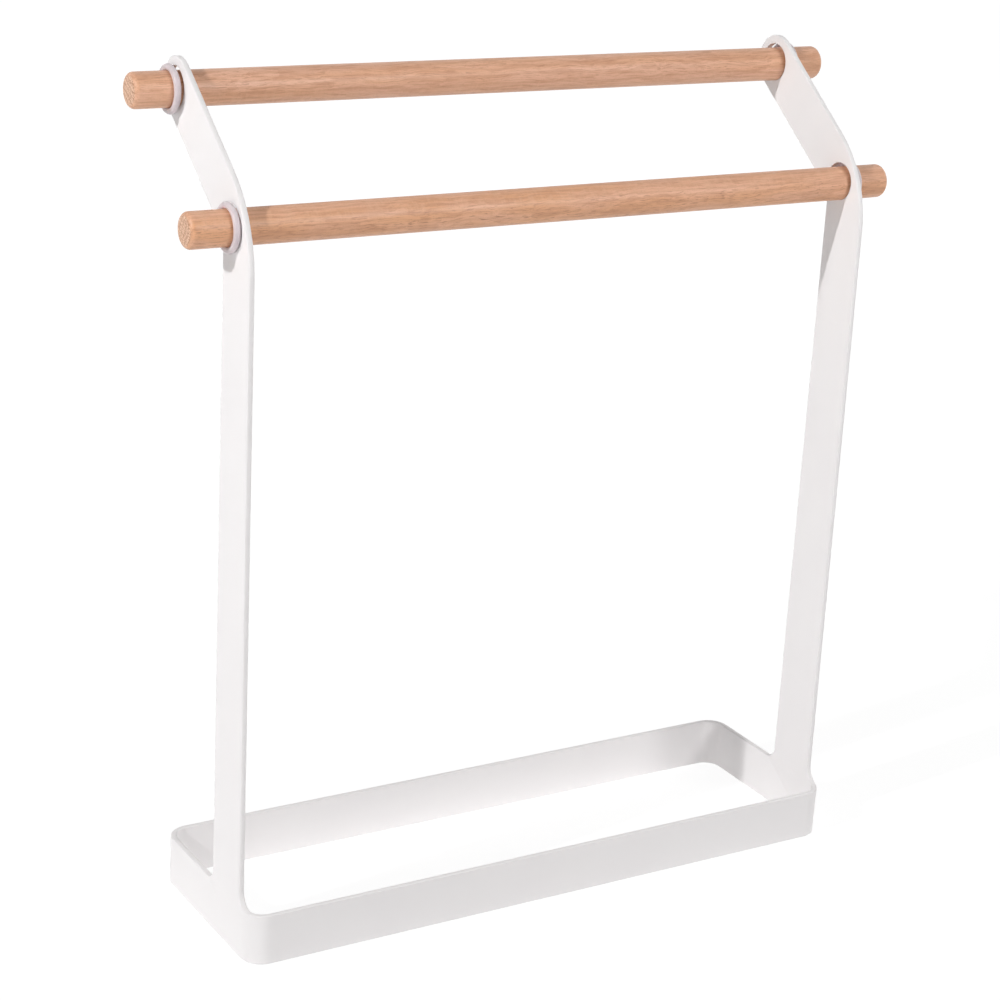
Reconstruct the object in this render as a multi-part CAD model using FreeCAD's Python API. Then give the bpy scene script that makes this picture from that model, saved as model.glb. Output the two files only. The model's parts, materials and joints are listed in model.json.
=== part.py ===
import FreeCAD, Part
import math
import os

V = FreeCAD.Vector

# ---------------------------------------------------------------------------
# Free-standing towel stand: a flat steel base ring lying on its edge, one
# cranked flat-steel upright on each end of the ring and two loose wooden bars.
# Millimetres. X runs along the bars, Y to the rear, Z up, the floor is Z = 0.
# The origin is under the middle of the whole stand.
# ---------------------------------------------------------------------------

# flat steel
sheet = 2.6                 # thickness of the ring's wall and of the uprights
edge_break = 0.45           # bevel on every edge of the steel but the holes'

# base ring
ring_length = 303.6         # outside, along X
ring_depth = 91.0           # outside, along Y
ring_height = 23.0
ring_corner = 10.0          # outside radius of the four corners

# uprights, seen from the side
upright_width = 24.6        # of the arm, and of the leg where it bends
foot_width = 26.4           # of the leg on the ring's top edge
upright_lean = 0.018       # rearward run of the lower leg per unit of height
foot_setback = 25.3         # ring's front face to the leg's middle line, at the ring's top edge
bend_height = 312.2         # where the middle lines of the leg and the arm meet
arm_angle = 36.5            # arm above the horizontal, degrees
arm_reach = 75.2            # from the bend to the middle of the rounded end
bend_outer = 51.5           # radius on the front of the bend
bend_inner = 6.0            # radius in the crook of the bend
foot_front = 8.0            # radius from the leg's front edge into the ring
foot_rear = 6.0             # radius from the leg's rear edge into the ring

# bars, and the round holes they lie in
bar_radius = 7.5
bar_length = 344.4
bar_end_round = 2.5
hole_radius = 8.5
rest_gap = 0.05             # bar to the bottom of its hole
front_hole_back = 4.5       # front hole behind the corner of the middle lines
front_hole_up = 0.4

# soft retaining rings, two on each bar
soft_ring_wall = 2.75       # radially, on the bar
soft_ring_width = 2.9       # along the bar
soft_ring_bevel = 0.85      # takes the section's outer corners off
soft_ring_bore_bevel = 0.5  # and its inner corners
front_ring_gap = 0.2        # upright to ring, front bar
rear_ring_gap = 1.4         # upright to ring, rear bar

# ---------------------------------------------------------------------------
# places worked out from the sizes
# ---------------------------------------------------------------------------
arm = math.radians(arm_angle)
half_width = upright_width / 2.0
arm_run = arm_reach * math.cos(arm)
arm_rise = arm_reach * math.sin(arm)
leg_run = upright_lean * (bend_height - ring_height)

# the stand reaches from the ring's front face to the tip of the arm
total_depth = foot_setback + leg_run + arm_run + half_width
ring_front = -total_depth / 2.0
ring_rear = ring_front + ring_depth
outer_x = ring_length / 2.0
inner_x = outer_x - sheet

leg_foot = V(0, ring_front + foot_setback, ring_height)
bend = V(0, leg_foot.y + leg_run, bend_height)
tip = V(0, bend.y + arm_run, bend.z + arm_rise)

rear_hole = tip
front_hole = V(0, bend.y + front_hole_back, bend.z + front_hole_up)
bar_drop = hole_radius - bar_radius - rest_gap
rear_bar_axis = rear_hole - V(0, 0, bar_drop)
front_bar_axis = front_hole - V(0, 0, bar_drop)


def line(a, b):
    return Part.LineSegment(a, b).toShape()


def arc(a, b, c):
    return Part.Arc(a, b, c).toShape()


def rounded_corner(before, corner, after, radius):
    """Three points of the arc that rounds the corner between two straights."""
    u = (before - corner).normalize()
    w = (after - corner).normalize()
    half = u.getAngle(w) / 2.0
    back = radius / math.tan(half)
    middle = V(u + w).normalize()
    centre = corner + middle * (radius / math.sin(half))
    return corner + u * back, centre - middle * radius, corner + w * back


def meet(p, d, q, e):
    """Point where two lines of the Y-Z plane cross: p + d and q + e."""
    cross = d.y * e.z - d.z * e.y
    t = ((q.y - p.y) * e.z - (q.z - p.z) * e.y) / cross
    return p + d * t


def side_outline():
    """Closed wire of the upright in the Y-Z plane, standing on the ring."""
    leg = (bend - leg_foot).normalize()
    up_arm = (tip - bend).normalize()
    leg_rear = V(0, leg.z, -leg.y) * half_width
    arm_rear = V(0, up_arm.z, -up_arm.y) * half_width
    flat = V(0, 1, 0)

    # the leg widens from the bend down to its foot
    front_foot = leg_foot - flat * (foot_width / 2.0)
    rear_foot = leg_foot + flat * (foot_width / 2.0)
    front_edge = bend - leg_rear - front_foot
    rear_edge = bend + leg_rear - rear_foot
    front_bend = meet(front_foot, front_edge, tip - arm_rear, up_arm)
    rear_bend = meet(rear_foot, rear_edge, tip + arm_rear, up_arm)

    f1, f2, f3 = rounded_corner(front_foot - flat * 30, front_foot, front_bend, foot_front)
    b1, b2, b3 = rounded_corner(front_foot, front_bend, tip - arm_rear, bend_outer)
    c1, c2, c3 = rounded_corner(tip + arm_rear, rear_bend, rear_foot, bend_inner)
    r1, r2, r3 = rounded_corner(rear_bend, rear_foot, rear_foot + flat * 30, foot_rear)
    t1 = tip - arm_rear
    t2 = tip + up_arm * half_width
    t3 = tip + arm_rear
    return Part.Wire([
        arc(f1, f2, f3),
        line(f3, b1),
        arc(b1, b2, b3),
        line(b3, t1),
        arc(t1, t2, t3),
        line(t3, c1),
        arc(c1, c2, c3),
        line(c3, r1),
        arc(r1, r2, r3),
        line(r3, f1),
    ])


def rounded_rectangle(inset, bottom):
    """Face of the ring's plan, drawn in by the inset."""
    x = outer_x - inset
    front = ring_front + inset
    rear = ring_rear - inset
    r = ring_corner - inset
    k = r * (1.0 - math.sqrt(0.5))
    z = bottom
    wire = Part.Wire([
        line(V(-x + r, front, z), V(x - r, front, z)),
        arc(V(x - r, front, z), V(x - k, front + k, z), V(x, front + r, z)),
        line(V(x, front + r, z), V(x, rear - r, z)),
        arc(V(x, rear - r, z), V(x - k, rear - k, z), V(x - r, rear, z)),
        line(V(x - r, rear, z), V(-x + r, rear, z)),
        arc(V(-x + r, rear, z), V(-x + k, rear - k, z), V(-x, rear - r, z)),
        line(V(-x, rear - r, z), V(-x, front + r, z)),
        arc(V(-x, front + r, z), V(-x + k, front + k, z), V(-x + r, front, z)),
    ])
    return Part.Face(wire)


def ring_band(bottom, height):
    """The ring's wall as a closed band of steel between two heights."""
    outside = rounded_rectangle(0.0, bottom).extrude(V(0, 0, height))
    inside = rounded_rectangle(sheet, bottom).extrude(V(0, 0, height))
    return outside.cut(inside)


def right_upright():
    """Cranked plate; its foot follows the bend of the ring's corner."""
    foot_top = ring_height + foot_front + 4.0
    outline = Part.Face(side_outline())
    outline.translate(V(outer_x - ring_corner, 0, 0))
    block = outline.extrude(V(ring_corner, 0, 0))
    slab = Part.makeBox(sheet, total_depth, bend_height + arm_rise, V(inner_x, ring_front, foot_top))
    plate = block.common(slab)
    foot = block.common(ring_band(ring_height, foot_top - ring_height))
    return plate.fuse(foot).removeSplitter()


def mirror(shape):
    return shape.mirror(V(0, 0, 0), V(1, 0, 0))


def steel_frame():
    """Ring and uprights as welded and ground flush, with their edges broken."""
    right = right_upright()
    frame = ring_band(0.0, ring_height).fuse([right, mirror(right)]).removeSplitter()
    frame = frame.makeChamfer(edge_break, frame.Edges)
    for hole in (front_hole, rear_hole):
        drill = Part.makeCylinder(hole_radius, ring_length + 20, hole - V(outer_x + 10, 0, 0), V(1, 0, 0))
        frame = frame.cut(drill)
    return frame


def cut_at_ring_top(frame):
    """The ring below its top edge, and the two uprights above it."""
    big = 4.0 * ring_length
    below = Part.makeBox(big, big, ring_height, V(-big / 2, -big / 2, 0))
    right = Part.makeBox(big, big, big, V(0, -big / 2, ring_height))
    left = Part.makeBox(big, big, big, V(-big, -big / 2, ring_height))
    return frame.common(below), frame.common(left), frame.common(right)


def wooden_bar(axis):
    bar = Part.makeCylinder(bar_radius, bar_length, axis - V(bar_length / 2, 0, 0), V(1, 0, 0))
    rims = [e for e in bar.Edges if e.Closed and len(e.Vertexes) == 1]
    return bar.makeFillet(bar_end_round, rims)


def retaining_ring(axis, gap, side):
    """Soft ring of near-round section, stretched on the bar and flat against it."""
    near = outer_x + gap
    far = near + soft_ring_width
    bore = bar_radius
    rim = bar_radius + soft_ring_wall
    corners = [
        (near + soft_ring_bore_bevel, bore),
        (far - soft_ring_bore_bevel, bore),
        (far, bore + soft_ring_bore_bevel),
        (far, rim - soft_ring_bevel),
        (far - soft_ring_bevel, rim),
        (near + soft_ring_bevel, rim),
        (near, rim - soft_ring_bevel),
        (near, bore + soft_ring_bore_bevel),
    ]
    points = [V(x, axis.y, axis.z + r) for x, r in corners]
    section = Part.Face(Part.makePolygon(points + points[:1]))
    ring = section.revolve(axis, V(1, 0, 0), 360)
    if side < 0:
        ring = mirror(ring)
    return ring


def one_solid(shape):
    solids = shape.Solids
    if len(solids) != 1:
        raise ValueError("expected one solid, found %d" % len(solids))
    return solids[0]


base_ring, left_upright, right_upright_plate = cut_at_ring_top(steel_frame())

parts = {
    "base_ring": base_ring,
    "left_upright": left_upright,
    "right_upright": right_upright_plate,
    "front_bar": wooden_bar(front_bar_axis),
    "rear_bar": wooden_bar(rear_bar_axis),
    "front_left_ring": retaining_ring(front_bar_axis, front_ring_gap, -1),
    "front_right_ring": retaining_ring(front_bar_axis, front_ring_gap, 1),
    "rear_left_ring": retaining_ring(rear_bar_axis, rear_ring_gap, -1),
    "rear_right_ring": retaining_ring(rear_bar_axis, rear_ring_gap, 1),
}

os.makedirs("parts", exist_ok=True)
for name in parts:
    solid = one_solid(parts[name])
    solid.exportStep("parts/" + name + ".step")
    box = solid.BoundBox
    print("%-18s volume %9.1f  x %8.2f %8.2f  y %8.2f %8.2f  z %8.2f %8.2f  valid %s" % (
        name, solid.Volume, box.XMin, box.XMax, box.YMin, box.YMax, box.ZMin, box.ZMax, solid.isValid()))
print("front bar axis", front_bar_axis, "rear bar axis", rear_bar_axis)
print("front hole", front_hole, "rear hole", rear_hole)
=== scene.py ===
import json
import math

import bmesh
import bpy
from mathutils import Matrix, Vector


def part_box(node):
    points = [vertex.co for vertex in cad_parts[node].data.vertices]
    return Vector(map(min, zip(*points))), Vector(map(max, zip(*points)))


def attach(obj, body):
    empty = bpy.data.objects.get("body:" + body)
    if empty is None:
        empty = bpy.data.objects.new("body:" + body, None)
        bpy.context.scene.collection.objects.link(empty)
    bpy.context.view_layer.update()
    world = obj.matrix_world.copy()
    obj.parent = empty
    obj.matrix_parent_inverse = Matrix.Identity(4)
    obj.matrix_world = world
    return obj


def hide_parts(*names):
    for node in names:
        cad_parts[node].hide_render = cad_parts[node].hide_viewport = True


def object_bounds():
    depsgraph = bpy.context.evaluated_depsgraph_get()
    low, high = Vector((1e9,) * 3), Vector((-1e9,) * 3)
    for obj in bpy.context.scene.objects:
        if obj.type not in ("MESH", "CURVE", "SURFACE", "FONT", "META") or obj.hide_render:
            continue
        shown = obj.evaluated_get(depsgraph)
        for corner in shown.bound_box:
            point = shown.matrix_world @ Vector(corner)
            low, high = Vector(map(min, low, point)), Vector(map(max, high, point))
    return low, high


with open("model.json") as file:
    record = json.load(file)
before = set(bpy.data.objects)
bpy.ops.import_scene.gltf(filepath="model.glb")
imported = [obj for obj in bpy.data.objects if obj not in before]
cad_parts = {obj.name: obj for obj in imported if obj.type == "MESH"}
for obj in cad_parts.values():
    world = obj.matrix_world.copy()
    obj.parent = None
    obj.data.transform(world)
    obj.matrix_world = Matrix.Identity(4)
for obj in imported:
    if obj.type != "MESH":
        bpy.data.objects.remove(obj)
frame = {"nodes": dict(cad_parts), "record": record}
cad_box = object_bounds()

# ---------------------------------------------------------------------------
# Free-standing towel stand: white powder-coated steel ring and uprights, two
# beech bars in their holes, milky soft rings on the bars.
# Metres, in the frame's axes: X along the bars, Y to the rear, Z up.
# ---------------------------------------------------------------------------

MM = 0.001
WHITE = (1, 1, 1, 1)

# camera, at the photograph's place and angle; angles in degrees
CAMERA_PLACE = Vector((-0.555224, -0.874934, 0.537064))
CAMERA_YAW = 31.929         # from +Y towards +X
CAMERA_PITCH = -19.374      # above the horizontal
CAMERA_ROLL = 3.61          # its right side up
LENS = 88.649               # in mm, as the sensor's width is
SENSOR = 36.0

# light levels are irradiance over pi, so that 1 renders a colour as it is written
# round lamps at the upper left: place, level at the stand's middle, radius
LAMPS = {
    "key_core": (Vector((-2.05, -0.323, 1.44)), 0.415, 0.018),
    "key_halo": (Vector((-2.05, -0.300, 1.44)), 0.08, 0.130),
}
# soft boxes: where each stands as seen from the stand, level, distance, size
SOFT_BOXES = {
    "front_box": (Vector((0.34, -0.82, 0.46)), 0.37, 2.0, 0.65),
    "side_box": (Vector((-0.90, -0.35, 0.20)), 0.10, 2.2, 1.40),
    "top_box": (Vector((0.0, -0.45, 1.0)), 0.04, 2.2, 1.60),
    "right_box": (Vector((1.0, 0.10, 0.20)), 0.20, 2.2, 1.40),
}
# the room: darker on the viewer's side, brighter behind the stand
ROOM_FRONT = 0.09
ROOM_REAR = 0.40

# table top, a square with the stand in its middle, a hair below the stand's foot
TABLE_HALF = 3.0
TABLE_DROP = 0.1 * MM
# as it lights the stand: a pale grey, and a glow about the inside of the ring
TABLE_GREY = (0.85, 0.85, 0.85, 1)
GLOW_CENTRE = (0.05, 0.045, 0.0)
GLOW_REACH = (0.55, 0.16, 1.0)
GLOW_LEVEL = 0.40
# as it is seen: a grey that takes the shadow, and a glow that rises away from the stand
SEEN_GREY = (0.21, 0.21, 0.21, 1)
SEEN_NEAR = 0.25
SEEN_FAR = 1.60
SEEN_NEAR_LEVEL = 0.870
SEEN_FAR_LEVEL = 0.955

# steel
STEEL = ("base_ring", "left_upright", "right_upright")
COAT_DARK = (0.855, 0.832, 0.836, 1)
COAT_PALE = (0.876, 0.856, 0.854, 1)
SHARP_EDGE = 60.0           # edges that turn by more degrees than this stay sharp
WELD_DISTANCE = 0.001 * MM

# shape of the bars and soft rings
BAR_END_ROUND = 2.5 * MM
END_ROUND_STEPS = 8
HALF_BAR_STEPS = 12
RING_SECTION = 1.45 * MM    # radius of a soft ring's round section
RING_SECTION_STEPS = 28
TURN_STEPS = 96

# bars: the piece's name, and how its wood differs; places and distances in mm
# cut: where in the wood it is cut, lean: of its grain in degrees, pith: the tree's
# middle as seen from the bar's axis, flecks: their strength, pale: share of paler wood
BARS = {
    "front_bar": {
        "name": "front_dowel",
        "cut": (0.0, 0.0, 0.0),
        "lean": 1.2,
        "pith": (0, -38, -16),
        "flecks": 1.0,
        "pale": 0.0,
    },
    "rear_bar": {
        "name": "rear_dowel",
        "cut": (140.0, 37.0, 11.0),
        "lean": -0.8,
        "pith": (0, 22, -36),
        "flecks": 0.45,
        "pale": 0.22,
    },
}
SIDE_LEAN = 0.6             # of the grain in plan, as a share of its lean in the front view

# beech: its ground colours, then each layer's strength and colour
BEECH_YELLOW = (0.745, 0.394, 0.218, 1)
BEECH_PINK = (0.790, 0.447, 0.292, 1)
BEECH_PALE = (0.820, 0.530, 0.410, 1)
BEECH_END = (0.800, 0.540, 0.380, 1)
BEECH_LAYERS = {
    "streak": (0.62, (0.580, 0.290, 0.170, 1)),
    "late_wood": (0.30, (0.520, 0.250, 0.140, 1)),
    "mottle": (0.34, (0.780, 0.465, 0.300, 1)),
    "fibre": (1.0, (0.480, 0.225, 0.120, 1)),
    "fleck": (0.80, (0.350, 0.150, 0.080, 1)),
    "pore": (0.38, (0.420, 0.200, 0.110, 1)),
    "end_late_wood": (1.0, (0.500, 0.270, 0.160, 1)),
    "end_ray": (0.60, (0.460, 0.240, 0.140, 1)),
    "end_pore": (1.0, (0.400, 0.190, 0.110, 1)),
}
END_COVER = 0.9             # how far the end grain hides the layers of the skin
GROWTH_RING = 2.3           # mm from one to the next
GROWTH_SWAY = 6.0           # mm that they stray from true circles
END_RAYS = 36.0             # per radian about the pith
END_RAY_SWAY = 1.6
FLECK_DEPTH = 0.6           # shares of the skin's relief
PORE_DEPTH = 0.4

# soft rings: the piece's name
SOFT_RINGS = {
    "front_left_ring": "front_left_soft_ring",
    "front_right_ring": "front_right_soft_ring",
    "rear_left_ring": "rear_left_soft_ring",
    "rear_right_ring": "rear_right_soft_ring",
}
SILICONE_DARK = (0.610, 0.545, 0.570, 1)
SILICONE_PALE = (0.700, 0.625, 0.640, 1)


# ---------------------------------------------------------------------------
# a short way to write node trees
# ---------------------------------------------------------------------------
class Nodes:
    """The node tree of a material or world, and the few kinds of node used here."""

    def __init__(self, owner):
        owner.use_nodes = True
        self.owner = owner
        self.tree = owner.node_tree
        self.tree.nodes.clear()

    def add(self, kind, **settings):
        node = self.tree.nodes.new(kind)
        for key, value in settings.items():
            setattr(node, key, value)
        return node

    def put(self, value, socket):
        if isinstance(value, bpy.types.NodeSocket):
            self.tree.links.new(value, socket)
        else:
            socket.default_value = value

    def math(self, operation, a, b=0.0):
        node = self.add("ShaderNodeMath", operation=operation)
        self.put(a, node.inputs[0])
        self.put(b, node.inputs[1])
        return node.outputs[0]

    def product(self, first, *others):
        result = first
        for other in others:
            result = self.math("MULTIPLY", result, other)
        return result

    def inverse(self, value):
        return self.math("SUBTRACT", 1.0, value)

    def vector(self, operation, a, b=(0, 0, 0)):
        node = self.add("ShaderNodeVectorMath", operation=operation)
        self.put(a, node.inputs[0])
        self.put(b, node.inputs[1])
        return node.outputs["Value" if operation in ("LENGTH", "DOT_PRODUCT") else "Vector"]

    def stretched(self, place, along, across):
        """The place scaled along X, and across it."""
        return self.vector("MULTIPLY", place, (along, across, across))

    def split(self, vector):
        node = self.add("ShaderNodeSeparateXYZ")
        self.put(vector, node.inputs[0])
        return node.outputs

    def noise(self, place, scale=1.0, detail=2.0, roughness=0.5, output="Fac"):
        node = self.add("ShaderNodeTexNoise")
        self.put(place, node.inputs["Vector"])
        self.put(scale, node.inputs["Scale"])
        self.put(detail, node.inputs["Detail"])
        self.put(roughness, node.inputs["Roughness"])
        return node.outputs[output]

    def push(self, place, detail, reach_along, reach_across):
        """A smooth random vector about zero, as long as the reaches allow."""
        noise = self.noise(place, detail=detail, output="Color")
        centred = self.vector("SUBTRACT", noise, (0.5, 0.5, 0.5))
        return self.stretched(centred, reach_along, reach_across)

    def cells(self, place):
        """Distance to the nearest scattered point, and that point's own number."""
        node = self.add("ShaderNodeTexVoronoi")
        self.put(place, node.inputs["Vector"])
        self.put(1.0, node.inputs["Scale"])
        return node.outputs["Distance"], self.split(node.outputs["Color"])[0]

    def remap(self, value, low, high, start, end, interpolation="LINEAR"):
        """Start at low and end at high, and nothing past them."""
        node = self.add("ShaderNodeMapRange", interpolation_type=interpolation)
        self.put(value, node.inputs["Value"])
        self.put(low, node.inputs["From Min"])
        self.put(high, node.inputs["From Max"])
        self.put(start, node.inputs["To Min"])
        self.put(end, node.inputs["To Max"])
        return node.outputs["Result"]

    def between(self, value, low, high):
        """0 below low, 1 above high, smooth in the middle."""
        return self.remap(value, low, high, 0.0, 1.0, "SMOOTHSTEP")

    def spread(self, value, start, end):
        """0 to 1 laid out from start to end."""
        return self.remap(value, 0.0, 1.0, start, end)

    def mix(self, share, a, b):
        node = self.add("ShaderNodeMix", data_type="RGBA")
        self.put(share, node.inputs[0])
        self.put(a, node.inputs[6])
        self.put(b, node.inputs[7])
        return node.outputs[2]

    def bump(self, height, strength, distance):
        node = self.add("ShaderNodeBump")
        self.put(height, node.inputs["Height"])
        self.put(strength, node.inputs["Strength"])
        self.put(distance, node.inputs["Distance"])
        return node.outputs["Normal"]

    def place(self):
        """The point in the object's own space, which at rest is the frame's."""
        return self.add("ShaderNodeTexCoord").outputs["Object"]

    def place_mm(self, origin=(0, 0, 0)):
        """The point on the piece in millimetres from an origin given in metres."""
        per_metre = (1000, 1000, 1000)
        return self.vector("MULTIPLY", self.vector("SUBTRACT", self.place(), origin), per_metre)

    def seen_directly(self):
        """1 for rays that show the background itself: camera, glossy, transmission."""
        path = self.add("ShaderNodeLightPath")
        value = path.outputs["Is Camera Ray"]
        for other in ("Is Glossy Ray", "Is Transmission Ray"):
            value = self.math("MAXIMUM", value, path.outputs[other])
        return value

    def shader(self, kind, **values):
        """A shader node; keys are socket names with _ for a blank."""
        node = self.add(kind)
        for key, value in values.items():
            self.put(value, node.inputs[key.replace("_", " ")])
        return node.outputs[0]

    def add_shaders(self, a, b):
        node = self.add("ShaderNodeAddShader")
        self.put(a, node.inputs[0])
        self.put(b, node.inputs[1])
        return node.outputs[0]

    def mix_shaders(self, share, a, b):
        node = self.add("ShaderNodeMixShader")
        self.put(share, node.inputs[0])
        self.put(a, node.inputs[1])
        self.put(b, node.inputs[2])
        return node.outputs[0]

    def output(self, surface, kind="ShaderNodeOutputMaterial"):
        self.put(surface, self.add(kind).inputs["Surface"])
        return self.owner


# ---------------------------------------------------------------------------
# materials
# ---------------------------------------------------------------------------
def powder_coat():
    """White powder coat: fine orange peel, and a slight cloudiness."""
    n = Nodes(bpy.data.materials.new("white_powder_coat"))
    place = n.place_mm()
    cloud = n.noise(place, scale=0.035, detail=2.0)
    peel = n.noise(place, scale=0.9, detail=3.0, roughness=0.6)
    return n.output(n.shader(
        "ShaderNodeBsdfPrincipled",
        Base_Color=n.mix(cloud, COAT_DARK, COAT_PALE),
        Roughness=n.spread(peel, 0.56, 0.68),
        Normal=n.bump(peel, strength=0.12, distance=0.05 * MM),
    ))


def milky_silicone():
    """Pale rubber that lets a little light in."""
    n = Nodes(bpy.data.materials.new("milky_silicone"))
    place = n.place_mm()
    cloud = n.noise(place, scale=0.45, detail=2.0)
    skin = n.noise(place, scale=3.0, detail=2.0)
    return n.output(n.shader(
        "ShaderNodeBsdfPrincipled",
        Base_Color=n.mix(cloud, SILICONE_DARK, SILICONE_PALE),
        Roughness=0.34,
        Subsurface_Weight=0.60,
        Subsurface_Radius=(1.0, 0.9, 0.95),
        Subsurface_Scale=1.6 * MM,
        Normal=n.bump(skin, strength=0.10, distance=0.03 * MM),
    ))


def layer(n, ground, name, mask):
    """One of the beech's layers over a ground colour, where the mask shows it."""
    strength, colour = BEECH_LAYERS[name]
    return n.mix(n.product(mask, strength), ground, colour)


def beech(name, axis, cut, lean, pith, flecks, pale):
    """Round beech rod: wavy grain, short dark flecks and pores, rings on its ends."""
    n = Nodes(bpy.data.materials.new(name))
    here = n.place_mm(axis)
    turn = n.add("ShaderNodeMapping")
    n.put(here, turn.inputs["Vector"])
    n.put((0.0, math.radians(lean), math.radians(lean * SIDE_LEAN)), turn.inputs["Rotation"])
    n.put(cut, turn.inputs["Location"])
    straight = turn.outputs["Vector"]

    # the grain wanders a little as it runs along
    wander = n.push(n.stretched(straight, 0.040, 0.07), 3.0, reach_along=0.0, reach_across=5.0)
    grain = n.vector("ADD", straight, wander)

    # 1 where the skin faces the pith or away from it, 0 where it is cut along the rays
    section = n.stretched(here, 0.0, 1.0)
    from_pith = n.vector("SUBTRACT", section, pith)
    outward = n.vector("NORMALIZE", from_pith)
    facing = n.math("ABSOLUTE", n.vector("DOT_PRODUCT", outward, n.vector("NORMALIZE", section)))

    # slow bands of yellower and pinker wood, with darker streaks
    band = n.noise(n.stretched(grain, 0.018, 0.13), detail=2.0)
    streak = n.noise(n.stretched(grain, 0.040, 0.75), detail=4.0, roughness=0.6)
    colour = n.mix(n.between(band, 0.35, 0.65), BEECH_YELLOW, BEECH_PINK)
    colour = n.mix(pale, colour, BEECH_PALE)
    colour = layer(n, colour, "streak", n.between(streak, 0.43, 0.66))

    # growth rings about the pith
    sway = n.noise(n.stretched(grain, 0.012, 0.10), detail=1.0)
    radius = n.math("ADD", n.vector("LENGTH", from_pith), n.product(sway, GROWTH_SWAY))
    late = n.between(n.math("FRACT", n.math("DIVIDE", radius, GROWTH_RING)), 0.55, 0.97)
    colour = layer(n, colour, "late_wood", late)

    # paler mottling across the grain on the sides that show the rays flat
    rays = n.noise(n.stretched(grain, 0.50, 0.20), detail=3.0, roughness=0.6)
    flat = n.inverse(n.between(facing, 0.30, 0.75))
    colour = layer(n, colour, "mottle", n.product(n.between(rays, 0.46, 0.64), flat))

    # thin wavy fibres
    fibre = n.noise(n.stretched(grain, 0.085, 2.3), detail=3.0, roughness=0.62)
    fibre_share = n.spread(n.between(facing, 0.3, 0.8), 0.3, 0.62)
    colour = layer(n, colour, "fibre", n.product(n.between(fibre, 0.50, 0.66), fibre_share))

    # short dark flecks, the ends of the rays, long and thin along the grain
    uneven = n.push(n.stretched(grain, 0.35, 1.2), 2.0, reach_along=0.7, reach_across=1.5)
    spot, strength = n.cells(n.vector("ADD", n.stretched(grain, 0.15, 1.50), uneven))
    patch = n.noise(n.stretched(grain, 0.030, 0.20), detail=1.0)
    fleck = n.product(
        n.inverse(n.between(spot, 0.08, 0.46)),
        n.between(strength, 0.15, 0.80),
        n.spread(n.between(patch, 0.36, 0.60), 0.60, 1.0),
        n.spread(n.between(facing, 0.35, 0.80), 0.25, 1.0),
        flecks,
    )
    colour = layer(n, colour, "fleck", fleck)

    # fine pores
    speck, depth = n.cells(n.stretched(grain, 0.8, 4.2))
    pore = n.product(n.inverse(n.between(speck, 0.15, 0.42)), n.between(depth, 0.30, 0.9))
    colour = layer(n, colour, "pore", pore)

    # end grain: paler, the rings as arcs and fine rays across them
    normal = n.split(n.add("ShaderNodeTexCoord").outputs["Normal"])
    end = n.between(n.math("ABSOLUTE", normal[0]), 0.80, 0.98)
    off = n.split(from_pith)
    angle = n.math("ARCTAN2", off[2], off[1])
    jitter = n.noise(n.stretched(here, 0.0, 0.5), detail=1.0)
    count = n.math("ADD", n.product(angle, END_RAYS), n.product(jitter, END_RAY_SWAY))
    from_middle = n.math("ABSOLUTE", n.math("SUBTRACT", n.math("FRACT", count), 0.5))
    dots = n.noise(n.stretched(here, 0.2, 1.9), detail=3.0)
    end_colour = layer(n, BEECH_END, "end_late_wood", late)
    end_colour = layer(n, end_colour, "end_ray", n.between(from_middle, 0.22, 0.42))
    end_colour = layer(n, end_colour, "end_pore", n.between(dots, 0.50, 0.62))
    colour = n.mix(n.product(end, END_COVER), colour, end_colour)

    hollow = n.math("ADD", n.product(fleck, FLECK_DEPTH), n.product(pore, PORE_DEPTH))
    return n.output(n.shader(
        "ShaderNodeBsdfPrincipled",
        Base_Color=colour,
        Roughness=n.spread(streak, 0.36, 0.50),
        Specular_IOR_Level=0.45,
        Normal=n.bump(n.inverse(hollow), strength=0.35, distance=0.06 * MM),
    ))


def paint(obj, material):
    """The one material over the whole piece."""
    obj.data.materials.clear()
    obj.data.materials.append(material)


# ---------------------------------------------------------------------------
# pieces
# ---------------------------------------------------------------------------
def soft_edge_group():
    """Geometry nodes: join the facets, shade smooth, keep the true corners sharp."""
    group = bpy.data.node_groups.new("soft_edges", "GeometryNodeTree")
    group.interface.new_socket("Geometry", in_out="INPUT", socket_type="NodeSocketGeometry")
    group.interface.new_socket("Geometry", in_out="OUTPUT", socket_type="NodeSocketGeometry")
    start = group.nodes.new("NodeGroupInput")
    weld = group.nodes.new("GeometryNodeMergeByDistance")
    weld.inputs["Distance"].default_value = WELD_DISTANCE
    faces = group.nodes.new("GeometryNodeSetShadeSmooth")
    edges = group.nodes.new("GeometryNodeSetShadeSmooth")
    edges.domain = "EDGE"
    edges.inputs["Shade Smooth"].default_value = False
    angle = group.nodes.new("GeometryNodeInputMeshEdgeAngle")
    steep = group.nodes.new("FunctionNodeCompare")
    steep.inputs["B"].default_value = math.radians(SHARP_EDGE)
    end = group.nodes.new("NodeGroupOutput")
    group.links.new(start.outputs[0], weld.inputs["Geometry"])
    group.links.new(weld.outputs["Geometry"], faces.inputs["Geometry"])
    group.links.new(faces.outputs["Geometry"], edges.inputs["Geometry"])
    group.links.new(angle.outputs["Unsigned Angle"], steep.inputs["A"])
    group.links.new(steep.outputs["Result"], edges.inputs["Selection"])
    group.links.new(edges.outputs["Geometry"], end.inputs[0])
    return group


def soften_edges(obj, group):
    """Bevels read as rounded edges, flat faces stay flat."""
    obj.modifiers.new("soft_edges", "NODES").node_group = group
    even = obj.modifiers.new("even_normals", "WEIGHTED_NORMAL")
    even.keep_sharp = True


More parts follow.
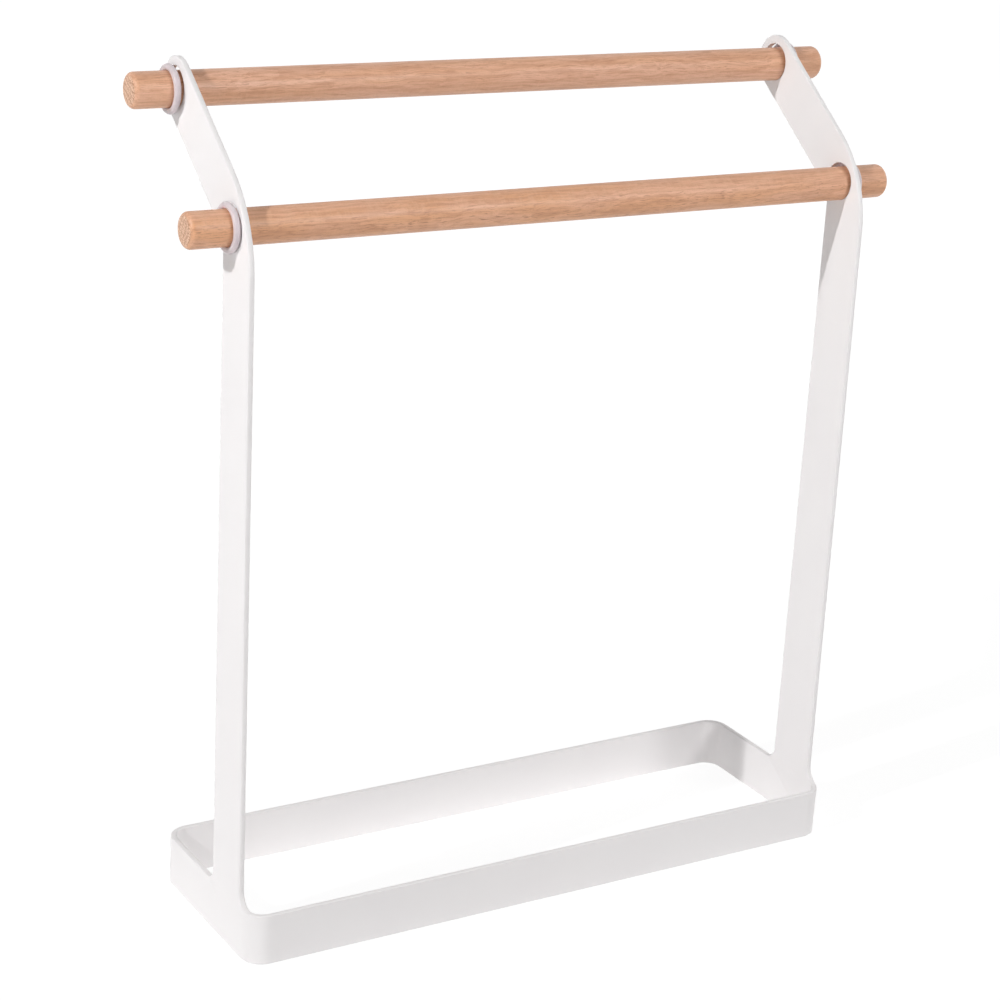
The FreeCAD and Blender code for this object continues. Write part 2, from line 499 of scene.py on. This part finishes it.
def lathe(name, profile, axis, closed):
    """Mesh turned about X from (x, radius) points; axis gives the turn's y and z."""
    mesh = bmesh.new()
    loops = []
    for x, radius in profile:
        if radius == 0.0:
            loops.append([mesh.verts.new((x, axis.y, axis.z))])
            continue
        loop = []
        for step in range(TURN_STEPS):
            angle = 2.0 * math.pi * step / TURN_STEPS
            y = axis.y + radius * math.cos(angle)
            z = axis.z + radius * math.sin(angle)
            loop.append(mesh.verts.new((x, y, z)))
        loops.append(loop)
    pairs = list(zip(loops, loops[1:]))
    if closed:
        pairs.append((loops[-1], loops[0]))
    for a, b in pairs:
        for step in range(TURN_STEPS):
            after = (step + 1) % TURN_STEPS
            if len(a) == 1:
                mesh.faces.new((a[0], b[step], b[after]))
            elif len(b) == 1:
                mesh.faces.new((a[step], b[0], a[after]))
            else:
                mesh.faces.new((a[step], b[step], b[after], a[after]))
    bmesh.ops.recalc_face_normals(mesh, faces=mesh.faces)
    data = bpy.data.meshes.new(name)
    mesh.to_mesh(data)
    mesh.free()
    data.polygons.foreach_set("use_smooth", [True] * len(data.polygons))
    obj = bpy.data.objects.new(name, data)
    bpy.context.scene.collection.objects.link(obj)
    return obj


def body_of_node(node):
    bodies = frame["record"]["behaviour"]["bodies"]
    return next(body for body, nodes in bodies.items() if node in nodes)


def bar_profile(low, high, radius):
    """Half outline of a rod with rounded ends, as (x, radius) points."""
    # the flat end has a loop half-way out, so that it is shaded flat up to there
    flat = radius - BAR_END_ROUND
    near = [(low, 0.0), (low, flat * 0.5)]
    for step in range(END_ROUND_STEPS + 1):
        angle = 0.5 * math.pi * step / END_ROUND_STEPS
        x = low + BAR_END_ROUND * (1.0 - math.cos(angle))
        near.append((x, radius - BAR_END_ROUND * (1.0 - math.sin(angle))))
    start = near[-1][0]
    middle = (low + high) / 2.0
    for step in range(1, HALF_BAR_STEPS):
        near.append((start + (middle - start) * step / HALF_BAR_STEPS, radius))
    far = [(low + high - x, r) for x, r in reversed(near)]
    return near + [(middle, radius)] + far


def make_bar(node, name, **wood):
    """Rod of the CAD bar's own length and thickness."""
    low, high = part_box(node)
    axis = (low + high) / 2.0
    radius = (high.z - low.z) / 2.0
    bar = lathe(name, bar_profile(low.x, high.x, radius), axis, closed=False)
    paint(bar, beech(name + "_beech", axis, **wood))
    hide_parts(node)
    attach(bar, body_of_node(node))


def make_soft_ring(node, name, material):
    """Round ring in the space of its CAD solid."""
    low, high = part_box(node)
    axis = (low + high) / 2.0
    section = min(RING_SECTION, (high.x - low.x) / 2.0)
    centre = (high.z - low.z) / 2.0 - section
    profile = []
    for step in range(RING_SECTION_STEPS):
        angle = 2.0 * math.pi * step / RING_SECTION_STEPS
        profile.append((axis.x + section * math.cos(angle), centre + section * math.sin(angle)))
    ring = lathe(name, profile, axis, closed=True)
    paint(ring, material)
    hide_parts(node)
    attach(ring, body_of_node(node))


# ---------------------------------------------------------------------------
# stage, light and camera
# ---------------------------------------------------------------------------
def make_world():
    """Plain room light; white where it is seen."""
    world = bpy.data.worlds.new("studio")
    n = Nodes(world)
    way = n.split(n.add("ShaderNodeTexCoord").outputs["Generated"])
    level = n.remap(way[1], -1.0, 1.0, ROOM_FRONT, ROOM_REAR)
    lit = n.shader("ShaderNodeBackground", Color=WHITE, Strength=level)
    seen = n.shader("ShaderNodeBackground", Color=WHITE, Strength=1.0)
    n.output(n.mix_shaders(n.seen_directly(), lit, seen), "ShaderNodeOutputWorld")
    bpy.context.scene.world = world


def white_table():
    """White table top; it keeps a faint shadow where it is seen."""
    n = Nodes(bpy.data.materials.new("white_table"))
    place = n.place()

    # for the rays that light the stand
    off_centre = n.vector("DIVIDE", n.vector("SUBTRACT", place, GLOW_CENTRE), GLOW_REACH)
    glow = n.remap(n.vector("LENGTH", off_centre), 0.0, 1.0, GLOW_LEVEL, 0.0, "SMOOTHSTEP")
    lit = n.add_shaders(
        n.shader("ShaderNodeBsdfDiffuse", Color=TABLE_GREY),
        n.shader("ShaderNodeEmission", Strength=glow),
    )

    # for the rays that show the table
    away = n.vector("LENGTH", place)
    bright = n.remap(away, SEEN_NEAR, SEEN_FAR, SEEN_NEAR_LEVEL, SEEN_FAR_LEVEL)
    seen = n.add_shaders(
        n.shader("ShaderNodeBsdfDiffuse", Color=SEEN_GREY),
        n.shader("ShaderNodeEmission", Strength=bright),
    )
    return n.output(n.mix_shaders(n.seen_directly(), lit, seen))


def make_floor():
    sides = ((-1, -1), (1, -1), (1, 1), (-1, 1))
    corners = [(x * TABLE_HALF, y * TABLE_HALF, -TABLE_DROP) for x, y in sides]
    data = bpy.data.meshes.new("floor")
    data.from_pydata(corners, [], [(0, 1, 2, 3)])
    floor = bpy.data.objects.new("floor", data)
    bpy.context.scene.collection.objects.link(floor)
    paint(floor, white_table())


def set_up_lamp(name, lamp, place, travel):
    """Lamp out of the camera's sight, turned the way that its light is to travel."""
    obj = bpy.data.objects.new(name, lamp)
    obj.location = place
    obj.rotation_mode = "QUATERNION"
    obj.rotation_quaternion = travel.to_track_quat("-Z", "Y")
    obj.visible_camera = False
    bpy.context.scene.collection.objects.link(obj)


def make_lights():
    middle = (cad_box[0] + cad_box[1]) / 2.0
    for name, (place, level, radius) in LAMPS.items():
        travel = middle - place
        lamp = bpy.data.lights.new(name, "POINT")
        lamp.shadow_soft_size = radius
        lamp.energy = level * (2.0 * math.pi * travel.length) ** 2
        set_up_lamp(name, lamp, place, travel)
    for name, (side, level, distance, size) in SOFT_BOXES.items():
        side = side.normalized()
        box = bpy.data.lights.new(name, "AREA")
        box.shape = "SQUARE"
        box.size = size
        box.energy = level * (math.pi * distance) ** 2
        set_up_lamp(name, box, middle + side * distance, -side)


def make_camera():
    yaw = math.radians(CAMERA_YAW)
    pitch = math.radians(CAMERA_PITCH)
    roll = math.radians(CAMERA_ROLL)
    level_ahead = Vector((math.sin(yaw), math.cos(yaw), 0.0))
    ahead = level_ahead * math.cos(pitch) + Vector((0, 0, math.sin(pitch)))
    right = ahead.cross(Vector((0, 0, 1))).normalized()
    up = right.cross(ahead)
    across = right * math.cos(roll) + up * math.sin(roll)
    upward = up * math.cos(roll) - right * math.sin(roll)
    data = bpy.data.cameras.new("camera")
    data.sensor_width = SENSOR
    data.lens = LENS
    camera = bpy.data.objects.new("camera", data)
    turn = Matrix((across, upward, -ahead)).transposed().to_4x4()
    camera.matrix_world = Matrix.Translation(CAMERA_PLACE) @ turn
    bpy.context.scene.collection.objects.link(camera)
    bpy.context.scene.camera = camera


make_camera()
make_world()
make_floor()
make_lights()

coat = powder_coat()
edge_group = soft_edge_group()
for node in STEEL:
    paint(frame["nodes"][node], coat)
    soften_edges(frame["nodes"][node], edge_group)

for node, bar in BARS.items():
    make_bar(node, **bar)

silicone = milky_silicone()
for node, name in SOFT_RINGS.items():
    make_soft_ring(node, name, silicone)

bpy.context.scene.view_settings.view_transform = "Standard"
